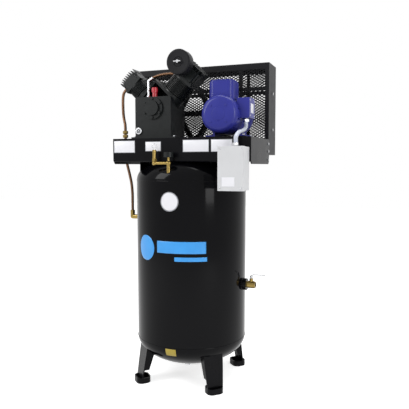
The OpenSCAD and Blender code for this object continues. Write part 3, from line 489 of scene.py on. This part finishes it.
def weld_ring(name, centre, direction, radius, bead, material, steps):
    """A round bead of weld along a circle."""
    bm = bmesh.new()
    outline = [(radius + bead * math.cos(a), bead * math.sin(a)) for a in (math.tau * i / 8 for i in range(9))]
    lathe(bm, centre, direction, outline, steps)
    finished(name, bm, material)


FILM_LIFT = 0.45 * MM
FILM_THICK = 0.25 * MM
ROUND_STICKER_HEIGHT = 1.005
BLUE_DISC_HEIGHT = 0.757
WIDE_BAR_HEIGHT = 0.77
THIN_BAR_HEIGHT = 0.71


def film(name, bm, material):
    """A sheet given the thickness of vinyl film."""
    piece = finished(name, bm, material, closed=False)
    sheet = piece.modifiers.new("film", "SOLIDIFY")
    sheet.thickness = FILM_THICK
    sheet.offset = -1


def curved_patch(name, azimuth, height, width, tall, lift, material, disc=False):
    """Thin film stuck on the tank: a rectangle or a disc bent to its radius, centred at an azimuth from the front."""
    bm = bmesh.new()
    bmesh.ops.create_grid(bm, x_segments=24, y_segments=12, size=0.5)
    for vert in bm.verts:
        u, v = 2 * vert.co.x, 2 * vert.co.y
        if disc:
            u, v = u * math.sqrt(1 - v * v / 2), v * math.sqrt(1 - u * u / 2)
        angle = azimuth + u * width / 2 / TANK_R
        radius = TANK_R + lift
        vert.co = (radius * math.sin(angle), -radius * math.cos(angle), height + v * tall / 2)
    film(name, bm, material)


def head_patch(name, azimuth, wide, fall, tall, material):
    """Thin film stuck on the lower head: angles round the tank and down the head's curve."""
    rim, depth = low("tank_shell").z, high("tank_bottom_head").z - low("tank_bottom_head").z
    bm = bmesh.new()
    bmesh.ops.create_grid(bm, x_segments=10, y_segments=10, size=0.5)
    for vert in bm.verts:
        angle, down = azimuth + vert.co.x * wide, fall - vert.co.y * tall
        radius = (TANK_R + FILM_LIFT) * math.cos(down)
        vert.co = (radius * math.sin(angle), -radius * math.cos(angle),
                   rim - (depth + FILM_LIFT) * math.sin(down))
    film(name, bm, material)


def make_tank_stickers():
    lift = FILM_LIFT
    curved_patch("round_sticker_border", 0, ROUND_STICKER_HEIGHT, 100 * MM, 100 * MM, lift, EDGE_GREY, disc=True)
    curved_patch("round_sticker", 0, ROUND_STICKER_HEIGHT, 90 * MM, 90 * MM, lift + 0.3 * MM, WHITE, disc=True)
    curved_patch("blue_disc", math.radians(-30), BLUE_DISC_HEIGHT, 130 * MM, 134 * MM, lift, STRIPE, disc=True)
    curved_patch("blue_bar_wide", math.radians(11), WIDE_BAR_HEIGHT, 266 * MM, 62 * MM, lift, STRIPE)
    curved_patch("blue_bar_thin", math.radians(21), THIN_BAR_HEIGHT, 170 * MM, 22 * MM, lift, STRIPE)
    head_patch("yellow_sticker", math.radians(0.5), math.radians(11), math.radians(9), math.radians(15), YELLOW)


def make_legs():
    for corner in ("front_left", "front_right", "rear_left", "rear_right"):
        softened("foot_" + corner, PLATE, 1.5 * MM)


# ---- deck ----

def plate(name, lo, hi, material, round_by):
    """One flat box with eased edges, as a piece of its own."""
    bm = bmesh.new()
    block(bm, lo, hi, round_by, 2)
    finished(name, bm, material)


APRON_STICKER_HEIGHT = 1.289
# middle in X, width and height of each blank label on the front apron
APRON_STICKERS = ((-0.2855, 0.126, 0.064), (-0.1155, 0.09, 0.05), (0.124, 0.142, 0.062), (0.262, 0.112, 0.062))


def make_deck():
    softened("deck", PLATE, 1.6 * MM)
    softened("deck_supports", PLATE, 1.5 * MM)
    face = DECK_LO.y
    height = APRON_STICKER_HEIGHT
    edge = 2.5 * MM
    for index, (x, wide, tall) in enumerate(APRON_STICKERS):
        plate(f"apron_sticker_border_{index}", (x - wide / 2, face - 0.4 * MM, height - tall / 2),
              (x + wide / 2, face + 0.1 * MM, height + tall / 2), EDGE_GREY, 0.1 * MM)
        plate(f"apron_sticker_{index}", (x - wide / 2 + edge, face - 0.7 * MM, height - tall / 2 + edge),
              (x + wide / 2 - edge, face - 0.2 * MM, height + tall / 2 - edge), WHITE, 0.1 * MM)


# ---- pump ----

def make_pump():
    softened("crankcase", CASTING, 4 * MM, segments=3)
    softened("front_bearing_cover", CASTING, 1.5 * MM)
    for node in ("stage2_cylinder", "stage1_cylinder"):
        softened(node, CASTING, 0.8 * MM)
    for node in ("stage2_head", "stage1_head"):
        softened(node, CASTING, 1.2 * MM)
    make_filter()
    make_sight_glass()
    softened("oil_cap", RED, 1.5 * MM, "oil_filler")
    softened("breather_tube", STEEL, 0.6 * MM)
    softened("wing_nut", STEEL, 1.2 * MM, "filter_nut")


def make_filter():
    node_lo, node_hi = low("filter_housing"), high("filter_housing")
    centre = (node_lo + node_hi) / 2
    radius = (node_hi.x - node_lo.x) / 2
    cover_lo, cover_hi = low("filter_cover"), high("filter_cover")
    back = node_hi.y
    bm = bmesh.new()
    depth = back - cover_hi.y
    lathe(bm, (centre.x, back, centre.z), (0, -1, 0), [(0, 0), (radius - 8 * MM, 0)] + [
        (radius - 8 * MM + 8 * MM * math.sin(a), 8 * MM - 8 * MM * math.cos(a))
        for a in (math.pi / 2 * i / 6 for i in range(1, 7))] + [(radius, depth - 0.4 * MM), (radius - 2 * MM, depth),
                                                               (0, depth)])
    lathe(bm, (centre.x, back - depth, centre.z), (0, -1, 0), rounded_disc(4.6 * MM, 12 * MM, 1 * MM))
    finished("filter_housing_pressed", bm, GUARD, replaces=("filter_housing",))
    bm = bmesh.new()
    deep = cover_hi.y - cover_lo.y
    dish = [(0, deep - 5 * MM), (22 * MM, deep - 5 * MM), (27 * MM, deep - 1 * MM),
            (radius - 12 * MM, deep - 0.5 * MM)]
    rim = [(radius - 6 * MM + 6 * MM * math.sin(a), deep - 6 * MM + 6 * MM * math.cos(a))
           for a in (math.pi / 2 * i / 6 for i in range(7))]
    lathe(bm, (centre.x, cover_hi.y, centre.z), (0, -1, 0),
          [(0, 0.2 * MM), (radius, 0.2 * MM)] + rim[::-1] + dish[::-1])
    finished("filter_cover_pressed", bm, GUARD, replaces=("filter_cover",))


def make_sight_glass():
    lo, hi = low("oil_sight_glass"), high("oil_sight_glass")
    centre = (lo + hi) / 2
    radius = (hi.x - lo.x) / 2
    bm = bmesh.new()
    lathe(bm, (centre.x, lo.y + 8 * MM, centre.z), (0, -1, 0), rounded_disc(radius, 8 * MM, 2 * MM, 11.5 * MM))
    finished("sight_glass_ring", bm, STEEL, replaces=("oil_sight_glass",))
    bm = bmesh.new()
    lathe(bm, (centre.x, lo.y + 8 * MM, centre.z), (0, -1, 0),
          [(0, 0), (11.8 * MM, 0), (11.8 * MM, 3 * MM), (8 * MM, 5.2 * MM), (4 * MM, 6 * MM), (0, 6.2 * MM)])
    finished("sight_glass_lens", bm, LENS)


def make_tubes():
    # drawn tubes, and the two nuts above the deck
    for node in ("discharge_tube", "riser_tube", "intercooler_tube"):
        softened(node, COPPER, 0.2 * MM)
    riser = low("riser_tube")
    bm = bmesh.new()
    for height in (0.0, 22 * MM):
        hex_nut(bm, (riser.x + 8 * MM, riser.y + 8 * MM, DECK_HI.z + 16 * MM + height), (0, 0, 1), 15 * MM, 18 * MM)
    finished("tube_nuts", bm, BRASS)


# ---- motor ----

def make_motor():
    make_motor_bell()
    for node in ("motor_frame", "motor_rear_bell"):
        softened(node, BLUE, 1.5 * MM)
    softened("motor_base", PLATE, 1.5 * MM)
    softened("motor_conduit_box", BLUE, 5 * MM, segments=3)
    softened("capacitor_cover", BLUE, 6 * MM, segments=3)
    # cover screws and a blank plate on the conduit box
    lo, hi = low("motor_conduit_box"), high("motor_conduit_box")
    bm = bmesh.new()
    for y in (lo.y + 12 * MM, hi.y - 12 * MM):
        for z in (lo.z + 12 * MM, hi.z - 12 * MM):
            lathe(bm, (hi.x - 0.5 * MM, y, z), (1, 0, 0), rounded_disc(4 * MM, 3 * MM, 1.5 * MM), 24)
    finished("conduit_box_screws", bm, STEEL)
    plate("conduit_box_plate", (hi.x - 0.2 * MM, lo.y + 24 * MM, lo.z + 26 * MM),
          (hi.x + 0.8 * MM, hi.y - 24 * MM, hi.z - 28 * MM), WHITE, 0.3 * MM)


def make_motor_bell():
    softened("motor_front_bell", BLUE, 1.2 * MM)
    # a bearing cap on the cast bell, and four through-bolt heads
    face = low("motor_front_bell").y
    bm = bmesh.new()
    lathe(bm, (MOTOR.x, face + 1 * MM, MOTOR.z), (0, -1, 0), rounded_disc(34 * MM, 2.6 * MM, 1.5 * MM))
    finished("bearing_cap", bm, BLUE)
    bm = bmesh.new()
    for index in range(4):
        angle = math.pi / 4 + math.pi / 2 * index
        place = (MOTOR.x + 58 * MM * math.cos(angle), face + 0.5 * MM, MOTOR.z + 58 * MM * math.sin(angle))
        hex_nut(bm, place, (0, -1, 0), 6 * MM, 2.8 * MM)
    finished("bell_through_bolts", bm, BLUE)


# ---- drive and guard ----

MESH_W = 25 * MM
MESH_H = 15 * MM
STRAND = 4 * MM
MESH_DEEP = 1.5 * MM


def expanded_panel(name, y, lo, hi, replaces=()):
    """Expanded metal: slanting strands that meet in diamonds, one cell repeated along X and Z."""
    bm = bmesh.new()
    half_w, half_h = MESH_W / 2, MESH_H / 2
    for x0, z0, x1, z1 in ((0, 0, half_w, half_h), (half_w, half_h, 2 * half_w, 0),
                           (0, 0, half_w, -half_h), (half_w, -half_h, 2 * half_w, 0)):
        way = Vector((x1 - x0, 0, z1 - z0))
        side = Vector((-way.z, 0, way.x)).normalized() * STRAND / 2
        ring = []
        for end in (Vector((x0, 0, z0)), Vector((x1, 0, z1))):
            ring.append([bm.verts.new(end + s * side + Vector((0, t, 0)))
                         for s, t in ((-1, 0), (1, 0), (1, MESH_DEEP), (-1, MESH_DEEP))])
        for i in range(4):
            j = (i + 1) % 4
            bm.faces.new((ring[0][i], ring[0][j], ring[1][j], ring[1][i]))
        bm.faces.new(ring[0][::-1])
        bm.faces.new(ring[1])
    bmesh.ops.recalc_face_normals(bm, faces=bm.faces)
    columns = int((hi[0] - lo[0]) / MESH_W)
    rows = int((hi[1] - lo[1]) / MESH_H)
    start = Vector(((lo[0] + hi[0] - columns * MESH_W) / 2, y, (lo[1] + hi[1] - (rows - 1) * MESH_H) / 2))
    bmesh.ops.translate(bm, verts=bm.verts, vec=start)
    piece = finished(name, bm, GUARD, replaces=replaces, closed=False)
    for axis, count, step in ((0, columns, MESH_W), (2, rows, MESH_H)):
        array = piece.modifiers.new("cells", "ARRAY")
        array.count = count
        array.use_relative_offset = False
        array.use_constant_offset = True
        offset = [0, 0, 0]
        offset[axis] = step
        array.constant_offset_displace = offset


GUARD_BAR_X = 0.236
GUARD_BAR_DROP = 0.125


def make_guard():
    softened("guard_frame", GUARD, 0.8 * MM)
    lo, hi = low("guard_mesh"), high("guard_mesh")
    expanded_panel("guard_mesh_front", lo.y, (lo.x, lo.z), (hi.x, hi.z), ("guard_mesh",))
    expanded_panel("guard_mesh_back", hi.y - 2 * MM, (lo.x, lo.z), (hi.x, hi.z))
    # flat stiffening bars behind each panel
    wide = 20 * MM
    bm = bmesh.new()
    for y in (lo.y + 1.6 * MM, hi.y - 3.8 * MM):
        block(bm, (GUARD_BAR_X, y, lo.z), (GUARD_BAR_X + wide, y + 2 * MM, hi.z), 0.4 * MM, 1)
        block(bm, (lo.x, y, hi.z - GUARD_BAR_DROP), (hi.x, y + 2 * MM, hi.z - GUARD_BAR_DROP + wide), 0.4 * MM, 1)
    finished("guard_stiffeners", bm, GUARD)


def make_drive():
    for node, body in (("flywheel", "crank"), ("motor_pulley", "rotor")):
        softened(node, CASTING, 1.2 * MM, body)
    softened("v_belts", RUBBER, 0.6 * MM)


# ---- starter and wiring ----

def make_starter():
    softened("starter_base", GREY, 2 * MM)
    softened("starter_cover", GREY, 5 * MM, segments=4)
    lo, hi = low("starter_cover"), high("starter_cover")
    face = lo.y
    # a blank raised plate, and four cover screws
    bm = bmesh.new()
    block(bm, (lo.x + 22 * MM, face - 1.6 * MM, lo.z + 22 * MM),
          (lo.x + 86 * MM, face + 1 * MM, lo.z + 66 * MM), 1 * MM)
    finished("starter_plate", bm, WHITE)
    bm = bmesh.new()
    for x in (lo.x + 12 * MM, hi.x - 12 * MM):
        for z in (lo.z + 12 * MM, hi.z - 12 * MM):
            lathe(bm, (x, face + 0.5 * MM, z), (0, -1, 0), rounded_disc(4 * MM, 2.6 * MM, 1.2 * MM), 24)
    finished("starter_screws", bm, STEEL)
    # the conduit with its two nuts
    softened("wiring_conduit", CONDUIT, 0.3 * MM)
    bm = bmesh.new()
    box_lo = low("motor_conduit_box")
    pipe_lo, pipe_hi = low("wiring_conduit"), high("wiring_conduit")
    x = (pipe_lo.x + pipe_hi.x) / 2
    reach = (pipe_hi.x - pipe_lo.x) / 2
    for y, z in ((pipe_hi.y - reach, box_lo.z - 20 * MM), (pipe_lo.y + reach, hi.z)):
        hex_nut(bm, (x, y, z), (0, 0, 1), 17 * MM, 19 * MM)
    finished("conduit_nuts", bm, STEEL)


# ---- gauge, valves and fasteners ----

def make_gauge():
    lo, hi = low("gauge_case"), high("gauge_case")
    centre = (lo + hi) / 2
    radius = (hi.x - lo.x) / 2
    softened("gauge_case", CASTING, 1 * MM)
    bm = bmesh.new()
    lathe(bm, (centre.x, centre.y, lo.z + 11.8 * MM), (0, 0, 1),
          rounded_disc(radius - 3.2 * MM, 0.6 * MM, 0.2 * MM), 48)
    finished("gauge_dial", bm, WHITE)
    bm = bmesh.new()
    for index in range(11):
        angle = math.radians(225 - 27 * index)
        turn = Matrix.Translation((centre.x, centre.y, lo.z + 12.5 * MM)) @ Matrix.Rotation(angle, 4, "Z")
        block(bm, (14 * MM, -0.5 * MM, 0), (19 * MM, 0.5 * MM, 0.3 * MM), turn=turn)
    finished("gauge_ticks", bm, PHENOLIC)


CARRIED = {
    "crank_bearings": DARK_STEEL, "crankshaft": DARK_STEEL, "stage2_piston": DARK_STEEL, "stage1_piston": DARK_STEEL,
    "stator": DARK_STEEL, "motor_rotor": DARK_STEEL, "contactor": PHENOLIC, "filter_element": PAPER,
    "gauge_needle": RED, "safety_ring": STEEL, "ball_valve_ball": STEEL,
}


def make_fittings():
    bolts = softened("hex_bolts", STEEL, 0.5 * MM)
    # the bolts on the pump itself were painted over with its castings
    bolts.data.materials.append(CASTING)
    pump_foot = low("crankcase").z + 40 * MM
    for face in bolts.data.polygons:
        if face.center.z > pump_foot and abs(face.center.x - CRANK.x) < 0.3:
            face.material_index = 1
    for node, width in (("ball_valve_body", 0.8 * MM), ("check_valve", 0.8 * MM), ("drain_valve", 0.6 * MM),
                        ("safety_valve", 0.6 * MM), ("manifold", 0.5 * MM)):
        softened(node, BRASS, width)
    softened("ball_valve_lever", STEEL, 0.8 * MM, "ball_valve")
    softened("drain_handle", STEEL, 0.8 * MM, "drain_cock")
    for node in ("outlet_bung", "inlet_bung"):
        softened(node, TANK, 1.5 * MM)
    for node, material in CARRIED.items():
        paint(node, material)
    # the stem nut on the ball valve
    lever = low("ball_valve_lever")
    stem = middle("ball_valve_ball")
    bm = bmesh.new()
    hex_nut(bm, (stem.x, stem.y, lever.z + 3.1 * MM), (0, 0, 1), 8 * MM, 6 * MM)
    finished("stem_nut", bm, STEEL, "ball_valve")


set_camera()
set_studio()
lay_floor()
make_tank()
make_tank_stickers()
make_legs()
make_deck()
make_pump()
make_tubes()
make_motor()
make_drive()
make_guard()
make_starter()
make_gauge()
make_fittings()
